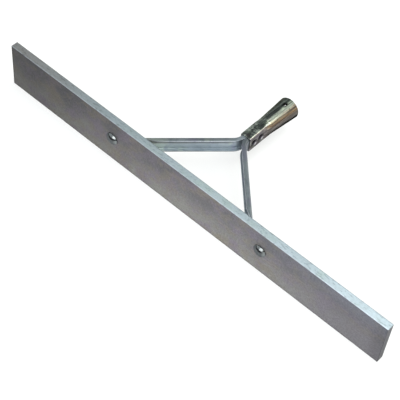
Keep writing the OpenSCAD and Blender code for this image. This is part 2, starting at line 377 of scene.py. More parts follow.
# sizes that the socket's plating uses as well
socketForm = {
    "fit": 0.15,  # between the legs and the inside of the square end
    "squareCorner": 2.5,
    "squareLength": 30.0,
    "roundStart": 46.0,  # from the square end, along the axis
    "lean": 3.0,  # degrees that the round part leans down
    "neck": 13.6,  # outside radius where the round part starts
    "wall": 1.6,
    "rimRound": 0.5,
    "mouthRound": 0.75,
    "rimSteps": 7,  # points of a rim's quarter circle
    "rowCounts": (16, 26, 22, 7, 8),  # square end, change, cone, hole's block and mouth
    "cornerSteps": 16,
    "sideStep": 1.0,
    "sideSpread": 11.0,  # degrees of the circle beside each corner that the straight sides take
    "easeShares": (0.55, 0.45),  # straight and smooth, from square to round
    "hole": 2.5,  # radius of the screw hole
    "holeInset": 13.5,  # from the mouth
    "holeEdge": 0.35,
    "holeSteps": 5,
    "lip": 2.9,  # height of the burr that punching left inside
    "lipWall": 0.7,
    "lipRound": 0.2,
    "patch": 4.2,  # half width of the block that the hole is cut in
    "patchMargin": 0.6,
    "insideShares": (0.25, 0.75),  # of the wall, where the inside's finish starts and is full
}


platingFinish = {
    "cool": (0.245, 0.268, 0.248, 1),
    "warm": (0.191, 0.157, 0.128, 1),  # painted reflection on the sides, most of all the right one
    "warmShares": (0.35, 0.65),  # plain and right
    "middle": (-0.002, 0.002),  # places along X
    "sides": (0.0068, 0.0100),  # from the middle, where they start and are full
    "sideSpread": 0.006,
    "sideClouds": (70, 3),
    "squareEnd": (0.046, 0.024),  # from the square rim, where it starts and is full
    "mauve": (0.330, 0.305, 0.325, 1),  # sides of the square end
    "leftTop": (0.0055, 0.0025),  # along X, for green stains and scars
    "green": (0.430, 0.480, 0.410, 1),
    "greenPatches": (95, 3, (0.52, 0.64)),
    "amber": (0.355, 0.285, 0.200, 1),  # painted reflection high on the right side
    "amberShare": 0.9,
    "amberSide": (0.002, 0.006),
    "amberHeights": [(0.0078, 0.0094), (0.0125, 0.0108)],  # above the axis, lower and upper limits
    "lowSideShade": (0.152, 0.148, 0.145, 1),  # painted shade low on the sides
    "lowSideShadeShare": 0.85,
    "lowSideShadeHeights": (0.0085, 0.0020),
    "bare": (0.56, 0.60, 0.54, 1),  # scuffed patches on top of the square end
    "scuffEnd": (0.056, 0.040),  # from the square rim
    "scuffs": (130, 3, (0.45, 0.60)),
    "rose": (0.300, 0.255, 0.265, 1),
    "roseShare": 0.5,
    "rosePatches": (110, 3, (0.60, 0.70)),
    "pits": (380, 3),
    "stain": (0.060, 0.058, 0.056, 1),  # in the pits
    "stainShare": 0.8,
    "stainLimits": (0.60, 0.72),
    "raw": (0.085, 0.090, 0.085, 1),  # inside, which isn't polished; its darkness is partly painted shade
    # painted shade: heights above the axis where it starts and is full low on the sides, then its shares on
    # the square end's sides, low down and in rings
    "shadeHeights": (0.0075, -0.0085),
    "squareShade": 0.12,
    "lowShade": 0.70,
    "ringShade": 0.85,  # painted shade round the rivets and the screw hole
    "halo": (0.0078, 0.0048),  # from a rivet's middle
    "scars": (1, 2, (0.50, 0.66), (700, 60, 700)),
    "scarLoss": 0.55,
    "streaks": (1, 3, (0.36, 0.64), (420, 26, 420)),
    "streakShares": (0.60, 0.7),  # plain and streaks
    "ripple": (150, 2),
    "pitHeight": 0.35,
    "roughLimits": (0.52, 0.75),
    "roughShares": (0.12, 0.18, 0.20, 0.35, 0.12),  # plain, pits, painted shade, inside and scuffed
    "bump": (0.28, 0.0004),
    "edge": (0.16, 0.17, 0.16, 1),
}


# the socket's sides, square end, scuffed end and left of its top, and the height above its leaning axis
def socketParts(s, place, x, y, z):
    rim = nodeBox("handle_socket")[0][1] * mm
    across = x.maths("ABSOLUTE", x, 0)
    side = step(across + s["sideSpread"] * (cloud(place, *s["sideClouds"]) - 0.5), *s["sides"])
    square, scuffEnd = (step(y, *(rim + away for away in s[name])) for name in ("squareEnd", "scuffEnd"))
    past = y.maths("MAXIMUM", y - rim - socketForm["squareLength"] * mm, 0)
    above = z + past * tan(radians(socketForm["lean"])) - nodeBox("left_bolt")[2][2] * mm
    return side, square, scuffEnd, step(x, *s["leftTop"]), above


# painted shade on the square end's sides, low on the sides, round the rivets and round the screw hole
def platingShade(s, place, side, square, above):
    low = s["lowShade"] * step(above, *s["shadeHeights"]) * (1 - square)
    paintedShade = side * (s["squareShade"] * square + low)
    flat = place.node("VectorMath", {"operation": "MULTIPLY"}, {0: place, 1: (0, 1, 1)})
    for rivet in ("lower_rivet", "upper_rivet"):
        middle = nodeBox(rivet)[2] * (0, mm, mm)
        away = place.node("VectorMath", {"operation": "DISTANCE"}, {0: flat, 1: middle}, 1)
        paintedShade = paintedShade.maths("MAXIMUM", paintedShade, s["ringShade"] * side * step(away, *s["halo"]))
    return paintedShade.maths("MAXIMUM", paintedShade, s["ringShade"] * mark(place, "ring"))


# bright plating: cool on top, amber high on the right and warm down the sides as painted reflection, then
# grey down the sides as painted shade, mauve and scuffed on the square end, with streaks, scars, stained pits
# and painted shade; ripples break up what it mirrors; dull inside, its darkness partly painted shade
def makePlatingFinish(s):
    material, place, (x, y, z) = startFinish("brightPlating")
    side, square, scuffEnd, leftTop, above = socketParts(s, place, x, y, z)
    pits = cloud(place, *s["pits"])
    inside = mark(place, "inside")
    # amber band high on the right side: a painted reflection
    amber = s["amberShare"] * step(x, *s["amberSide"]) * (1 - square)
    for heights in s["amberHeights"]:
        amber = amber * step(above, *heights)
    scuffed = (1 - side) * scuffEnd * patchy(place, *s["scuffs"])
    # warm sides, most of all the right one: a painted reflection
    tint = blend(side * weigh(s["warmShares"], step(x, *s["middle"])), s["cool"], s["warm"])
    layers = [
        (side * square, "mauve"),
        ((1 - side) * leftTop * patchy(place, *s["greenPatches"]), "green"),
        (amber, "amber"),
        (s["lowSideShadeShare"] * side * step(above, *s["lowSideShadeHeights"]) * (1 - square), "lowSideShade"),
        (scuffed, "bare"),
        (s["roseShare"] * patchy(place, *s["rosePatches"]), "rose"),
        (s["stainShare"] * step(pits, *s["stainLimits"]), "stain"),
        (inside, "raw"),
    ]
    for factor, name in layers:
        tint = blend(factor, tint, s[name])
    paintedShade = platingShade(s, place, side, square, above)
    scars = s["scarLoss"] * (1 - side) * leftTop * patchy(place, *s["scars"])
    tone = (1 - paintedShade) * weigh(s["streakShares"], patchy(place, *s["streaks"])) * (1 - scars)
    roughness = weigh(s["roughShares"], step(pits, *s["roughLimits"]), paintedShade, inside, scuffed)
    height = cloud(place, *s["ripple"]) + s["pitHeight"] * pits
    return endFinish(material, s, shadeBy(tint, tone), roughness, height)


fastenerWear = {
    "scuffs": (260, 4),
    "grain": (1500, 2),
    "paleLimits": (0.45, 0.7),
    "roughLimits": (0.52, 0.72),
    "toneShares": (0.9, 0.2),  # plain and grain
    "grainHeight": 0.5,
    "bump": (0.10, 0.0001),
}
boltFinish = {
    **fastenerWear,
    "colour": (0.111, 0.120, 0.124, 1),
    "pale": (0.152, 0.163, 0.161, 1),
    "paintedHighlight": (0.225, 0.245, 0.245, 1),  # painted highlight on the right of the heads
    "edge": (0.58, 0.60, 0.62, 1),
    "roughShares": (0.10, 0.16, 0.04),  # plain, scuffs and grain
}
nutFinish = {
    **fastenerWear,
    "colour": (0.40, 0.415, 0.43, 1),
    "pale": (0.50, 0.50, 0.485, 1),
    "roughShares": (0.28, 0.16, 0.04),
}


# bright-zinc fasteners: blue-grey and lightly scuffed; where given, a painted highlight on the right of the
# heads
def makeBoltFinish(s, name):
    material, place, _ = startFinish(name)
    scuffs = cloud(place, *s["scuffs"])
    grain = cloud(place, *s["grain"])
    tint = blend(step(scuffs, *s["paleLimits"]), s["colour"], s["pale"])
    if "paintedHighlight" in s:
        tint = blend(mark(place, "highlight"), tint, s["paintedHighlight"])
    colour = shadeBy(tint, weigh(s["toneShares"], grain))
    roughness = weigh(s["roughShares"], step(scuffs, *s["roughLimits"]), grain)
    return endFinish(material, s, colour, roughness, scuffs + s["grainHeight"] * grain)


rivetFinish = {
    **fastenerWear,
    # painted highlight on the crown and painted shade towards the rim
    "crownHighlight": (0.38, 0.36, 0.39, 1),
    "rim": (0.040, 0.038, 0.048, 1),
    "rimShadeShares": (0.42, 0.68),  # of a head's radius, where the rim's painted shade starts and is full
    "rimShadeSpread": 0.2,
    "scuffs": (300, 3),
    "roughShares": (0.22, 0.12),  # plain and scuffs
}


# riveted heads: a painted highlight on the crown and painted shade towards the rim
def makeRivetFinish(s):
    material, place, _ = startFinish("rivetSteel")
    scuffs = cloud(place, *s["scuffs"])
    grain = cloud(place, *s["grain"])
    spread = mark(place, "spread") + s["rimShadeSpread"] * (scuffs - 0.5)
    tint = blend(step(spread, *s["rimShadeShares"]), s["crownHighlight"], s["rim"])
    colour = shadeBy(tint, weigh(s["toneShares"], grain))
    return endFinish(material, s, colour, weigh(s["roughShares"], scuffs), scuffs + s["grainHeight"] * grain)


barMaterial = makeBarFinish(barFinish)
zincMaterial = makeZincFinish(zincFinish)
platingMaterial = makePlatingFinish(platingFinish)
boltMaterial = makeBoltFinish(boltFinish, "boltZinc")
nutMaterial = makeBoltFinish(nutFinish, "nutZinc")
rivetMaterial = makeRivetFinish(rivetFinish)
print("finishes:", len(bpy.data.materials))


# shapes

# straight ramp of an array from 0 to 1 between two values
def ramp(values, start, full):
    return np.clip((values - start) / (full - start), 0, 1)


# quads of a grid of points, numbered row by row, each row a ring; ringRows joins the last row to the first
def gridQuads(rows, cols, ringRows=False):
    i, j = np.meshgrid(np.arange(rows - (not ringRows)), np.arange(cols), indexing="ij")
    below, right = (i + 1) % rows, (j + 1) % cols
    corners = [i * cols + j, i * cols + right, below * cols + right, below * cols + j]
    return np.stack(corners, -1).reshape(-1, 4)


mergeDistance = 2e-6  # metres


# one piece from surfaces, each its points and sets of faces: doubles merged and faces turned outwards;
# marks are values stored at the points for the finish
def makePiece(name, node, material, surfaces, sharpAngle=40, marks=None):
    pointSets = [np.reshape(points, (-1, 3)) for points, _ in surfaces]
    starts = np.cumsum([0] + [len(points) for points in pointSets])
    faceSets = [part + start for start, (_, sets) in zip(starts, surfaces) for part in sets]
    mesh = bpy.data.meshes.new(name)
    faces = [face for faceSet in faceSets for face in faceSet.tolist()]
    mesh.from_pydata((np.concatenate(pointSets) * mm).tolist(), [], faces)
    for markName, values in (marks or {}).items():
        stored = mesh.attributes.new(markName, "FLOAT", "POINT")
        stored.data.foreach_set("value", np.ravel(values).astype(np.float32))
    shape = bmesh.new()
    shape.from_mesh(mesh)
    bmesh.ops.remove_doubles(shape, verts=shape.verts, dist=mergeDistance)
    bmesh.ops.dissolve_degenerate(shape, edges=shape.edges, dist=mergeDistance)
    bmesh.ops.recalc_face_normals(shape, faces=shape.faces)
    shape.to_mesh(mesh)
    shape.free()
    mesh.polygons.foreach_set("use_smooth", np.ones(len(mesh.polygons), bool))
    mesh.set_sharp_from_angle(angle=radians(sharpAngle))
    mesh.materials.append(material)
    piece = bpy.data.objects.new(name, mesh)
    bpy.context.scene.collection.objects.link(piece)
    piece.modifiers.new("flatFaces", "WEIGHTED_NORMAL").keep_sharp = True
    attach(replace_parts(piece, node), "root")
    print("piece:", name, len(mesh.polygons), "faces")


# loop of a rounded rectangle about the origin, a quarter circle and a straight side in turn, with its
# normals and the angle that each point takes on a circle, where a straight side keeps a small spread of
# angles
def roundedLoop(width, height, radius, arcSteps, sideStep, spread=0.0):
    reach = np.array([width, height]) / 2 - radius
    share = np.linspace(0, 1, arcSteps + 1)
    signs = np.array([(1, 1), (-1, 1), (-1, -1), (1, -1), (1, 1)])
    points, normals, angles = [], [], []
    for corner in range(4):
        turn = (corner + share) * pi / 2
        normal = np.stack([np.cos(turn), np.sin(turn)], 1)
        arc = signs[corner] * reach + radius * normal
        along = signs[corner + 1] * reach + radius * normal[-1] - arc[-1]
        count = int(np.ceil(np.linalg.norm(along) / sideStep))
        part = np.arange(1, count)[:, None] / count
        points += [arc, arc[-1] + along * part]
        normals += [normal, np.repeat(normal[-1:], count - 1, 0)]
        angles += [corner * pi / 2 + spread + (pi / 2 - 2 * spread) * share]
        angles += [(corner + 1) * pi / 2 - spread + 2 * spread * part[:, 0]]
    return np.concatenate(points), np.concatenate(normals), np.concatenate(angles)


# surface of revolution: rows of a place along an axis and a radius there, which may change round the ring
def revolve(along, radius, middle, axis, turns):
    turn = np.linspace(0, 2 * pi, turns, endpoint=False)
    first, second = np.roll(np.eye(3), -1 - axis, 0)[:2]
    ring = np.cos(turn)[:, None] * first + np.sin(turn)[:, None] * second
    radius = np.broadcast_to(np.reshape(radius, (len(along), -1)), (len(along), turns))
    points = middle + np.multiply.outer(along, np.eye(3)[axis])[:, None] + radius[..., None] * ring
    return points, [gridQuads(len(along), turns)]


# rows of a dome from its top to its rim: a spherical cap of that base radius and height
def domeRows(base, height, steps):
    radius = (base ** 2 + height ** 2) / (2 * height)
    turn = np.linspace(0, asin(base / radius), steps)
    return radius * (1 - np.cos(turn)), radius * np.sin(turn)


bladeForm = {
    "edge": 0.8,  # rounding of the long edges
    "edgeSteps": 5,
    "sideStep": 2.0,
    "endEdge": 0.5,  # rounding of the sawn ends
    "endSteps": 5,
    "lengthStep": 1.6,
    "nicks": 34,  # small dents along each long edge
    "nickDepth": 0.22,
    "nickWidths": (1.5, 5.0),
    "nickReach": 1.3,
    "seed": 11,
}


# bar: a rounded rectangle carried along X, drawn in by a quarter circle at both ends; each dent is a bell
# curve along an edge times a bell curve of the distance from it
def makeBlade(s):
    low, high, middle = nodeBox("blade")
    length, thickness, height = high - low
    loop, normals, _ = roundedLoop(thickness, height, s["edge"], s["edgeSteps"], s["sideStep"])
    turn = np.linspace(0, pi / 2, s["endSteps"])
    near, far = s["endEdge"] * (1 - np.sin(turn)), s["endEdge"] * (1 - np.cos(turn))
    plain = np.linspace(low[0] + s["endEdge"], high[0] - s["endEdge"], int(length / s["lengthStep"]))[1:-1]
    x = np.concatenate([low[0] + near[::-1], plain, high[0] - near])
    inset = np.concatenate([far[::-1], plain * 0, far])
    draws = np.random.default_rng(s["seed"])
    corners = np.array([(1, 1), (-1, 1), (-1, -1), (1, -1)]) * (thickness / 2, height / 2)
    nicks = (len(corners), s["nicks"], 1)
    places = draws.uniform(low[0], high[0], nicks)
    depths = s["nickDepth"] * draws.uniform(0, 1, nicks) ** 3  # most are shallow
    widths = draws.uniform(*s["nickWidths"], nicks)
    dents = (depths * np.exp(-(((x - places) / widths) ** 2))).sum(1)
    nearness = np.exp(-(((loop[:, None] - corners) ** 2).sum(-1)) / s["nickReach"] ** 2)
    inset = inset[:, None] + (nearness @ dents).T
    section = middle[1:] + loop - inset[..., None] * normals
    points = np.concatenate([np.broadcast_to(x[:, None, None], section.shape[:2] + (1,)), section], -1)
    ends = np.arange(len(loop)) + np.array([[0], [(len(x) - 1) * len(loop)]])
    surfaces = [(points, [gridQuads(len(x), len(loop)), ends])]
    makePiece("rakeBlade", "blade", barMaterial, surfaces)


legForm = {
    "sheet": 2.0,
    "bend": 3.0,  # outside radius between web and flange
    "flange": 7.5,
    "tipRound": 0.35,
    "angle": 45.5,  # degrees between the leg and the blade
    "footBend": 5.0,
    "topBend": 18.0,
    "flangeStart": 15.0,  # from the foot bend
    "flangeFull": 37.0,
    "tangGap": 0.2,
    "arcSteps": 9,  # points of a quarter circle of the outline
    "webSteps": 9,
    "flangeSteps": 6,
    # points of the foot's round end, flat part and bend, each half of the leg, the top bend and the tang
    "pathSteps": (14, 12, 10, 40, 20, 10),
    "highlightDepths": (0.20, 0.05),  # from a flange's edge, where its painted highlight starts and is full
    "outsideShadeDepths": (2.4, 1.4),  # the same for the painted shade on the outside of a flange
    "flangeShadeHeights": (-0.8, 2.2),  # heights between which the inside of the web goes dark with painted shade
    "flangeShadeBelow": 0.10,  # how much painted shade the lower flange's inside takes
    "touch": 0.01,
}


# half the height of a leg's web
def legHalf():
    low, high, _ = nodeBox("left_leg")
    return (high[2] - low[2]) / 2


# outline of a channel as depth from its web's outside and height: web, bend, flange, tip and back inside
def channelOutline(s):
    half, sheet, bend, flange, tip = legHalf(), s["sheet"], s["bend"], s["flange"], s["tipRound"]
    inner = bend - sheet
    turn = np.linspace(0, pi / 2, s["arcSteps"])
    out, up = 1 - np.cos(turn), np.sin(turn)
    web = np.linspace(0, 1, s["webSteps"])[:-1]
    side = np.linspace(0, 1, s["flangeSteps"])[1:-1]
    depth = [web * 0, bend * out, bend + (flange - tip - bend) * side, flange - tip + tip * up,
             flange - tip * out, flange - tip + (bend - flange + tip) * side, bend - inner * up,
             sheet + web * 0]
    height = [web * (half - bend), half - bend + bend * up, half + side * 0, half - tip * out,
              half - sheet + tip * (1 - up), half - sheet + side * 0, half - sheet - inner * out,
              (half - sheet - inner) * (1 - web - web[1])]
    upper = np.stack([np.concatenate(depth), np.concatenate(height)], 1)
    return np.concatenate([upper, upper[-2:0:-1] * (1, -1)])


# painted highlight and painted shade at each point of it: the upper tip takes a painted highlight, the inside
# under the upper flange and a little on the lower one takes painted shade, and so do the bends and the
# flanges' outsides
def channelMarks(s, outline):
    depth, height = outline.T
    half, sheet = legHalf(), s["sheet"]
    highlight = ramp(depth, *(s["flange"] - away for away in s["highlightDepths"])) * (height > 0)
    inside = (depth > sheet - s["touch"]) & (np.abs(height) < half - sheet + s["touch"])
    above = ramp(height, *s["flangeShadeHeights"])
    below = s["flangeShadeBelow"] * ramp(-height, s["flangeShadeHeights"][1], half - sheet)
    outsideShade = ramp(np.abs(height), *(half - away for away in s["outsideShadeDepths"])) * ~inside
    return {"highlight": highlight, "flangeShade": inside * (above + below) * (1 - highlight), "outsideShade": outsideShade * (1 - highlight)}


# path of the leg's outside, seen from above: places, headings, half heights and depths of the flange
def legPath(s):
    low = nodeBox("left_leg")[0]
    back = nodeBox("blade")[1][1]
    rim = nodeBox("handle_socket")[0][1]
    angle, half, sheet = radians(s["angle"]), legHalf(), s["sheet"]
    footBend, topBend = s["footBend"], s["topBend"]
    footTangent = footBend * tan(angle / 2)
    topTangent = topBend * tan((pi / 2 - angle) / 2)
    footY, tangX = back + sheet, s["flange"] + s["tangGap"] / 2
    bendX = tangX + (rim - topTangent - footY) / tan(angle)
    flatEnd = -bendX - footTangent
    run = (bendX - tangX) / cos(angle)
    roundSteps, flatSteps, footSteps, runSteps, topSteps, tangSteps = s["pathSteps"]
    turn = np.linspace(0, pi / 2, roundSteps)
    flat = np.linspace(low[0] + half, flatEnd, flatSteps)[1:-1]
    footTurn, topTurn = np.linspace(0, angle, footSteps), np.linspace(angle, pi / 2, topSteps)
    along = np.concatenate([np.linspace(footTangent, s["flangeFull"], runSteps)[1:],
                            np.linspace(s["flangeFull"], run - topTangent, runSteps)[1:-1]])
    tang = np.linspace(0, socketForm["squareLength"], tangSteps)[1:]
    x = [low[0] + half * (1 - np.cos(turn)), flat, flatEnd + footBend * np.sin(footTurn),
         -bendX + along * cos(angle), -tangX - topBend * (1 - np.sin(topTurn)), -tangX + tang * 0]
    y = [footY + turn * 0, footY + flat * 0, footY + footBend * (1 - np.cos(footTurn)),
         footY + along * sin(angle), rim - topBend * np.cos(topTurn), rim + tang]
    heading = [turn * 0, flat * 0, footTurn, angle + along * 0, topTurn, pi / 2 + tang * 0]
    halves = [half * np.sin(turn), half + np.concatenate([flat, footTurn, along, topTurn, tang]) * 0]
    share = ramp(along, s["flangeStart"], s["flangeFull"])
    flange = [sheet + np.concatenate([turn, flat, footTurn]) * 0, sheet + share * (s["flange"] - sheet),
              s["flange"] + np.concatenate([topTurn, tang]) * 0]
    return [np.concatenate(part)[:, None] for part in (x, y, heading, halves, flange)]


# leg: the channel's outline carried along that path; its depth is cut off where the flanges run out, and its
# height follows the foot's round end
def makeLeg(s, name, node, side):
    x, y, heading, halves, flange = legPath(s)
    outline = channelOutline(s)
    depth, height = outline.T
    bend, half = s["bend"], legHalf()
    depth = np.where(depth > bend, bend + (depth - bend) * ramp(flange, bend, s["flange"]), depth)
    depth = np.minimum(depth, flange)
    limit = half - bend + np.sqrt(bend ** 2 - np.clip(bend - flange, 0, bend) ** 2)
    height = np.clip(height, -limit, limit) * halves / half
    level = nodeBox("left_bolt")[2][2]
    across, back = x + depth * np.sin(heading), y - depth * np.cos(heading)
    points = np.stack([-side * across, back, level + height], -1)
    rows, cols = height.shape
    end = np.arange((rows - 1) * cols, rows * cols)[None]
    marks = {key: np.broadcast_to(value, (rows, cols)) for key, value in channelMarks(s, outline).items()}
    surfaces = [(points, [gridQuads(rows, cols), end])]
    makePiece(name, node, zincMaterial, surfaces, marks=marks)


# width and height of the square end, which fits round both legs
def squareSize(s):
    over = 2 * (s["fit"] + s["wall"])
    return 2 * legForm["flange"] + legForm["tangGap"] + over, 2 * legHalf() + over


# rows of the socket's outside, as distances along its axis, and of its closed band of outside, mouth rim,
# inside and square rim, with depths below the outside as well
def socketRows(s, length):
    wall, mouth, rim = s["wall"], s["mouthRound"], s["rimRound"]
    hole = length - s["holeInset"]
    stops = [rim, s["squareLength"], s["roundStart"], hole - s["patch"], hole + s["patch"], length - mouth]
    spans = zip(stops, stops[1:], s["rowCounts"])
    parts = [np.linspace(start, stop, count)[:-1] for start, stop, count in spans]
    outside = np.concatenate(parts + [stops[-1:]])
    turn = np.linspace(0, pi / 2, s["rimSteps"])[1:-1]
    near, far = 1 - np.sin(turn), 1 - np.cos(turn)
    rows = [(outside, outside * 0), (length - mouth * near, mouth * far),
            (length - mouth * far, wall - mouth * near), (outside[::-1], outside * 0 + wall),
            (rim * near, wall - rim * far), (rim * far, rim * near)]
    return outside, np.concatenate([np.stack(part, 1) for part in rows])


# rings of the screw hole, flattened about its middle: from its block's border over the edge, down the burr
# and out again; their depths below the outside, and how close the outer ones come to the hole
def holeRings(s, border):
    hole, edge, lip, soft, wall = s["hole"], s["holeEdge"], s["hole"] + s["lipWall"], s["lipRound"], s["wall"]
    unit = border / np.linalg.norm(border, axis=1, keepdims=True)
    ease = np.linspace(0, pi / 2, s["holeSteps"])
    reach = np.linspace(0, 1, s["holeSteps"])[:-1]
    rings = [border + (unit * (hole + edge) - border) * part for part in reach]
    rings += [unit * (hole + edge * (1 - part)) for part in np.sin(ease)]
    rings += [unit * part for part in (hole, hole + soft, lip - soft, lip, lip)]
    rings += [border + (unit * lip - border) * part for part in reach[::-1]]
    foot = wall + s["lip"]
    burr = [foot - soft, foot, foot, foot - soft, wall]
    depths = [reach * 0, edge * (1 - np.cos(ease)), burr, wall + reach * 0]
    around = [reach, np.ones(len(rings) - 2 * len(reach)), reach * 0]
    return np.stack(rings), np.concatenate(depths), np.concatenate(around)


# socket: a rounded rectangle that turns into a circle, which flares and leans
def makeSocket(s):
    low, high, _ = nodeBox("handle_socket")
    level = nodeBox("left_bolt")[2][2]
    lean, square, start = radians(s["lean"]), s["squareLength"], s["roundStart"]
    mouthRadius = (high[0] - low[0]) / 2
    length = square + (high[1] - low[1] - square - mouthRadius * sin(lean)) / cos(lean)
    outside, rows = socketRows(s, length)
    corner = s["squareCorner"], s["cornerSteps"], s["sideStep"], radians(s["sideSpread"])
    loop, normals, angles = roundedLoop(*squareSize(s), *corner)
    circle = np.stack([np.cos(angles), np.sin(angles)], 1)

    # radius of the round part at a distance along the axis
    def roundRadius(along):
        return s["neck"] + (mouthRadius - s["neck"]) * ramp(along, start, length)

    # points across and up from the axis, which bends at the end of the square part
    def place(along, across, up):
        past = np.clip(along - square, 0, None)
        tilt = lean * ramp(past, 0, start - square)
        y = low[1] + np.minimum(along, square) + past * cos(lean) + up * np.sin(tilt)
        return np.stack([across, y, level - past * sin(lean) + up * np.cos(tilt)], -1)

    along, depth = rows[:, :1, None], rows[:, 1:, None]
    share = ramp(along, square, start)
    straight, smooth = s["easeShares"]
    share = straight * share + smooth * share ** 2 * (3 - 2 * share)
    facing = normals * (1 - share) + circle * share
    facing = facing / np.linalg.norm(facing, axis=-1, keepdims=True)
    section = loop * (1 - share) + roundRadius(along) * circle * share - depth * facing
    points = place(along[..., 0], section[..., 0], section[..., 1])

    # the hole: cells of a block on top are left out on both sides of the wall, and rings take their place
    hole = length - s["holeInset"]
    first, last = np.abs(outside[:, None] - hole - np.array([-1, 1]) * s["patch"]).argmin(0)
    cells = np.flatnonzero(np.abs(angles - pi / 2) * mouthRadius < s["patch"] + s["patchMargin"])
    left, right = cells[0], cells[-1]
    tall, wide = last - first, right - left
    across = [np.arange(left, right), np.full(tall, right), np.arange(right, left, -1), np.full(tall, left)]
    down = [np.full(wide, first), np.arange(first, last), np.full(wide, last), np.arange(last, first, -1)]
    across, down = np.concatenate(across), np.concatenate(down)
    border = np.stack([(angles[across] - pi / 2) * roundRadius(outside[down]), outside[down] - hole], 1)
    flat, depths, around = holeRings(s, border)
    ringAlong = hole + flat[..., 1]
    ringAngle = pi / 2 + flat[..., 0] / roundRadius(ringAlong)
    ringRadius = roundRadius(ringAlong) - depths[:, None]
    ringPoints = place(ringAlong, ringRadius * np.cos(ringAngle), ringRadius * np.sin(ringAngle))

    quads = gridQuads(len(rows), len(loop), ringRows=True)
    row, col = quads[:, 0] // len(loop), quads[:, 0] % len(loop)
    mirrored = 2 * len(outside) + 2 * (s["rimSteps"] - 2) - 2 - row  # the same cell on the inside
    inBlock = ((row >= first) & (row < last)) | ((mirrored >= first) & (mirrored < last))
    keep = ~(inBlock & (col >= left) & (col < right))
    surfaces = [(points, [quads[keep]]), (ringPoints, [gridQuads(*ringPoints.shape[:2])])]
    below = np.concatenate([np.repeat(rows[:, 1], len(loop)), np.repeat(depths, len(border))]) / s["wall"]
    # ring: how much of the painted shade round the screw hole each point takes
    ring = np.concatenate([np.zeros(len(rows) * len(loop)), np.repeat(around, len(border))])
    marks = {"inside": ramp(below, *s["insideShares"]), "ring": ring}
    makePiece("handleSocket", "handle_socket", platingMaterial, surfaces, marks=marks)


rivetForm = {"shank": 2.5, "rim": 0.4, "edge": 0.15, "domeSteps": 14, "turns": 48}


# rivet: both domed heads and the shank between them in one surface of revolution about X
def makeRivet(s, name, node):
    low, high, middle = nodeBox(node)
    head = (high[2] - low[2]) / 2
    half = (high[0] - low[0]) / 2
    wall = squareSize(socketForm)[0] / 2
    rise, radius = domeRows(head, half - wall - s["rim"], s["domeSteps"])
    place = np.concatenate([half - rise, [wall + s["edge"], wall, wall, 0]])
    radius = np.concatenate([radius, [head, head - s["edge"], s["shank"], s["shank"]]])
    place, radius = np.concatenate([place, -place[-2::-1]]), np.concatenate([radius, radius[-2::-1]])
    spread = np.repeat(radius / head, s["turns"])
    surfaces = [revolve(place, radius, middle * (0, 1, 1), 0, s["turns"])]
    makePiece(name, node, rivetMaterial, surfaces, marks={"spread": spread})


boltForm = {
    "rim": 0.8,
    "edge": 0.25,
    "domeSteps": 20,
    "turns": 72,
    "neck": 4.0,  # half the width of the square neck
    "neckLength": 5.0,
    "cornerShare": 1.32,  # of that half width, where the neck's corners are cut
    "seatShare": 1.4,  # of that half width, where the underside of the head ends
    "shank": 4.0,
    "pitch": 1.25,
    "threadDepth": 0.76,
    "threadLength": 7.0,
    "threadSteps": 12,  # rows a pitch
    "grooveSlope": 1.3,
    "grooveFlat": 0.1,
    "chamfer": 1.0,
    "highlightAcross": (5.5, 8.5),  # right of the middle, where the head's painted highlight starts and is full
    "highlightUp": (6.8, 5.0),  # the same upwards
}


# bolt: dome, rim, neck, shank and thread in one surface of revolution about Y; the neck is a square with cut
# corners, and the thread is a wave that climbs one pitch a turn
def makeBolt(s, name, node):
    low, high, middle = nodeBox(node)
    face = nodeBox("blade")[0][1]
    head = (high[2] - low[2]) / 2
    rise, dome = domeRows(head, face - low[1] - s["rim"], s["domeSteps"])
    turn = np.linspace(0, 2 * pi, s["turns"], endpoint=False)
    square = s["neck"] / np.maximum(abs(np.cos(turn)), abs(np.sin(turn)))
    square = np.minimum(square, s["cornerShare"] * s["neck"])[None]
    thread = np.arange(high[1] - s["threadLength"], high[1], s["pitch"] / s["threadSteps"])
    wave = np.abs((thread[:, None] / s["pitch"] - turn / (2 * pi)) % 1 * 2 - 1)
    climb = s["shank"] - s["threadDepth"] * np.clip(s["grooveSlope"] * wave - s["grooveFlat"], 0, 1)
    climb = np.minimum(climb, s["shank"] - s["chamfer"] + np.clip(high[1] - thread, 0, None)[:, None])
    neckEnd = face + s["neckLength"]
    even = np.ones((1, s["turns"]))
    place = np.concatenate([low[1] + rise, [face - s["edge"], face, face, face, neckEnd, neckEnd, thread[0]],
                            thread, [high[1], high[1]]])
    radius = np.concatenate([dome[:, None] * even, head * even, (head - s["edge"]) * even,
                             s["seatShare"] * s["neck"] * even, square, square, s["shank"] * even,
                             s["shank"] * even, climb, climb[-1:], 0 * even])
    # painted highlight on the right of the head
    highlight = ramp(radius * np.sin(turn), *s["highlightAcross"]) * ramp(radius * np.cos(turn), *s["highlightUp"])
    surfaces = [revolve(place, radius, middle * (1, 0, 1), 1, s["turns"])]
    makePiece(name, node, boltMaterial, surfaces, marks={"highlight": highlight})


washerForm = {"bore": 4.1, "edge": 0.3, "edgeSteps": 4, "sideStep": 1.2, "turns": 96}


# middle of a washer, loop of its section and the radius of each point of that loop
def washerSection(s, node):
    low, high, middle = nodeBox(node)
    outer = (high[2] - low[2]) / 2
    loop = roundedLoop(high[1] - low[1], outer - s["bore"], s["edge"], s["edgeSteps"], s["sideStep"])[0]
    return middle, loop, (outer + s["bore"]) / 2 + loop[:, 1]


# flat washer: a small rounded rectangle turned about Y
def makeWasher(s, name, node):
    middle, loop, radius = washerSection(s, node)
    points, _ = revolve(middle[1] + loop[:, 0], radius, middle * (1, 0, 1), 1, s["turns"])
    surfaces = [(points, [gridQuads(len(loop), s["turns"], ringRows=True)])]
    makePiece(name, node, nutMaterial, surfaces)


springForm = {**washerForm, "edge": 0.25, "sideStep": 0.8, "turns": 90, "split": 1.2, "slant": 20.0}


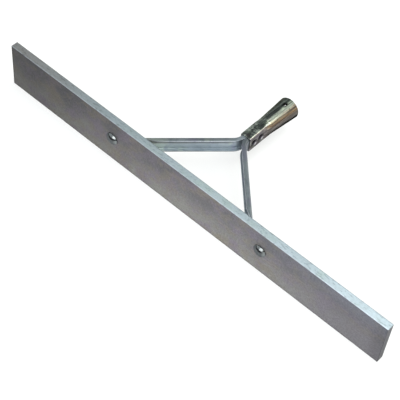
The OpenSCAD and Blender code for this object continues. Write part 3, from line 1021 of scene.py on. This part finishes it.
# spring washer: a rounded rectangle carried round Y from one side of the leaning split to the other, so the
# turn where the ring starts and ends moves with the depth
def makeSpringWasher(s, name, node):
    middle, loop, radius = washerSection(s, node)
    lean = loop[:, 0] * tan(radians(s["slant"])) / radius
    gap = s["split"] / 2 / radius
    share = np.linspace(0, 1, s["turns"])[:, None]
    turn = pi / 2 + lean + gap + (2 * pi - 2 * gap) * share
    points = np.stack([middle[0] + radius * np.cos(turn), middle[1] + loop[:, 0] + turn * 0,
                       middle[2] + radius * np.sin(turn)], -1)
    ends = np.arange(len(loop)) + np.array([[0], [(s["turns"] - 1) * len(loop)]])
    makePiece(name, node, nutMaterial, [(points, [gridQuads(s["turns"], len(loop)), ends])])


nutForm = {
    "bore": 4.1,
    "boreEdge": 0.5,
    "cornerCut": 0.12,
    "faceShare": 0.95,  # of the width, for the round end faces
    "slant": 30.0,  # degrees of the cone that cuts the corners
    "coneDepth": 1.2,
    "coneSteps": 10,
    "sideSteps": 5,
    "turns": 144,
    "sharpAngle": 25,
}


# nut: rows along Y of a hexagon's radius, cut by a cone at both ends; bore and faces close the band
def makeNut(s, name, node):
    low, high, middle = nodeBox(node)
    flat = (high[2] - low[2]) / 2
    corner = flat / cos(pi / 6)
    turn = np.linspace(0, 2 * pi, s["turns"], endpoint=False)
    hexagon = flat / np.cos((turn - pi / 2 + pi / 6) % (pi / 3) - pi / 6)
    hexagon = np.minimum(hexagon, corner - s["cornerCut"])
    rise = np.concatenate([np.linspace(0, s["coneDepth"], s["coneSteps"]),
                           np.linspace(s["coneDepth"], (high[1] - low[1]) / 2, s["sideSteps"])[1:]])
    side = np.concatenate([low[1] + rise, high[1] - rise[-2::-1]])
    cone = s["faceShare"] * flat + np.minimum(side - low[1], high[1] - side) / tan(radians(s["slant"]))
    bore, edge = np.full((1, s["turns"]), s["bore"]), s["boreEdge"]
    place = np.concatenate([[low[1] + edge, low[1]], side, [high[1], high[1] - edge]])
    radius = np.concatenate([bore, bore + edge, np.minimum(hexagon, cone[:, None]), bore + edge, bore])
    points, _ = revolve(place, radius, middle * (1, 0, 1), 1, s["turns"])
    surfaces = [(points, [gridQuads(len(place), s["turns"], ringRows=True)])]
    makePiece(name, node, nutMaterial, surfaces, s["sharpAngle"])


makeBlade(bladeForm)
makeSocket(socketForm)
makeRivet(rivetForm, "lowerRivet", "lower_rivet")
makeRivet(rivetForm, "upperRivet", "upper_rivet")
for sideName, side in (("left", -1), ("right", 1)):
    makeLeg(legForm, sideName + "Leg", sideName + "_leg", side)
    makeBolt(boltForm, sideName + "Bolt", sideName + "_bolt")
    makeWasher(washerForm, sideName + "Washer", sideName + "_washer")
    makeSpringWasher(springForm, sideName + "SpringWasher", sideName + "_spring_washer")
    makeNut(nutForm, sideName + "Nut", sideName + "_nut")


# floor, lamps and surroundings

floorSettings = {
    "half": 30.0,  # metres
    "colour": (0.9, 0.9, 0.9, 1),
    "glow": 0.6,  # share of plain white
    "front": (-0.075, -0.15),  # places along Y between which it goes dark in mirrors
    "side": (0.24, 0.18),  # places along X between which that dark ends on the right
    "dark": 0.93,  # share of that dark
    "darkColour": (0.03, 0.03, 0.04, 1),
}


# pale floor: matt, mixed with plain white where the eye or a mirror sees it; further in front a mirror sees
# the dark of the room instead; open from below
def makeFloor(s):
    half = s["half"]
    corners = [(-half, -half, 0), (half, -half, 0), (half, half, 0), (-half, half, 0)]
    mesh = bpy.data.meshes.new("studioFloor")
    mesh.from_pydata(corners, [], [(0, 1, 2, 3)])
    floor = bpy.data.objects.new("studioFloor", mesh)
    bpy.context.scene.collection.objects.link(floor)
    material, place, (x, y, _) = startFinish("paleFloor")
    camera, glossy, through = (place.node("LightPath", out=name) for name in
                               ("Is Camera Ray", "Is Glossy Ray", "Is Transmission Ray"))
    seen = camera.maths("MAXIMUM", camera.maths("MAXIMUM", camera, glossy), through)
    matt = place.node("BsdfDiffuse", {}, {"Color": s["colour"]})
    plain = place.node("Emission", {}, {"Color": white, "Strength": 1.0})
    top = place.node("MixShader", {}, {0: s["glow"] * seen, 1: matt, 2: plain})
    dark = place.node("BsdfDiffuse", {}, {"Color": s["darkColour"]})
    ahead = step(y, *s["front"]) * step(x, *s["side"])
    top = place.node("MixShader", {}, {0: s["dark"] * glossy * ahead, 1: top, 2: dark})
    below = place.node("NewGeometry", out="Backfacing")
    surface = place.node("MixShader", {}, {0: below, 1: top, 2: place.node("BsdfTransparent")})
    place.node("OutputMaterial", {}, {"Surface": surface})
    mesh.materials.append(material)


lampSettings = {
    "above": {"place": (0.25, 0.05, 1.45), "aim": (0.0, 0.05, 0.0), "size": (1.3, 1.0), "radiance": 4.2,
              "colour": (0.93, 0.98, 1.0)},
    "back": {"place": (0.513, 1.60, 0.946), "aim": (0.0, 0.19, 0.045), "size": (0.52, 0.46), "radiance": 5.0,
             "colour": (1.0, 0.98, 0.94)},
    "front": {"place": (0.40, -1.80, 0.56), "aim": (0.0, 0.0, 0.05), "size": (1.3, 0.95), "radiance": 6.0,
              "colour": (1.0, 1.0, 1.0)},
}


# soft boxes: lamp power is radiance times pi times area
def makeLamps(settings):
    for name, s in settings.items():
        data = bpy.data.lights.new(name, "AREA")
        data.shape = "RECTANGLE"
        data.size, data.size_y = s["size"]
        data.energy = s["radiance"] * pi * s["size"][0] * s["size"][1]
        data.color = s["colour"]
        lamp = bpy.data.objects.new(name, data)
        bpy.context.scene.collection.objects.link(lamp)
        lamp.location = s["place"]
        lamp.rotation_mode = "QUATERNION"
        lamp.rotation_quaternion = (Vector(s["aim"]) - Vector(s["place"])).to_track_quat("-Z", "Y")


roomSettings = {
    "pale": (0.62, 0.65, 0.63, 1),
    "horizon": (0.34, 0.36, 0.36, 1),
    "paleHeights": (0.15, 0.45),  # sines of the angles above the horizon where pale starts and is full
    "warm": (0.80, 0.69, 0.58, 1),
    "warmSide": (0.94, 0.34, 0.0),  # middle of the warm part of the horizon
    "warmReach": (0.30, 0.75),  # cosines of the angles where it starts and is full
    # bright and dark parts: middle, colour, and the cosines of the angles where the part starts and is full
    "parts": [
        ((0.173, 0.646, 0.743), (1.35, 1.42, 1.25, 1), (0.86, 0.95)),
        ((0.470, 0.530, 0.706), (3.30, 3.25, 2.80, 1), (0.965, 0.990)),
        ((-0.505, 0.561, 0.656), (0.18, 0.20, 0.20, 1), (0.90, 0.985)),
        ((0.250, -0.700, 0.669), (1.50, 1.60, 1.58, 1), (0.90, 0.96)),
        ((-0.581, -0.771, 0.259), (1.60, 1.66, 1.66, 1), (0.788, 0.927)),
    ],
}


# room: pale overhead, darker round the horizon and warm on one side, with bright and dark parts
def makeRoom(s):
    world = bpy.data.worlds.new("studioRoom")
    bpy.context.scene.world = world
    world.use_nodes = True
    world.node_tree.nodes.clear()
    start = Shade(world.node_tree)
    direction = start.node("TexCoord", out=0)
    height = start.node("SeparateXYZ", {}, {0: direction}, 2)

    # how closely a direction faces one side of the room
    def facing(side):
        return start.node("VectorMath", {"operation": "DOT_PRODUCT"}, {0: direction, 1: side}, 1)

    horizon = blend(step(facing(s["warmSide"]), *s["warmReach"]), s["horizon"], s["warm"])
    colour = blend(step(height, *s["paleHeights"]), horizon, s["pale"])
    for middle, partColour, reach in s["parts"]:
        colour = blend(step(facing(middle), *reach), colour, partColour)
    light = start.node("Background", {}, {"Color": colour, "Strength": 1.0})
    start.node("OutputWorld", {}, {"Surface": light})


makeFloor(floorSettings)
makeLamps(lampSettings)
makeRoom(roomSettings)
bpy.context.scene.view_settings.view_transform = "Standard"
print("stage: floor, lamps and room")
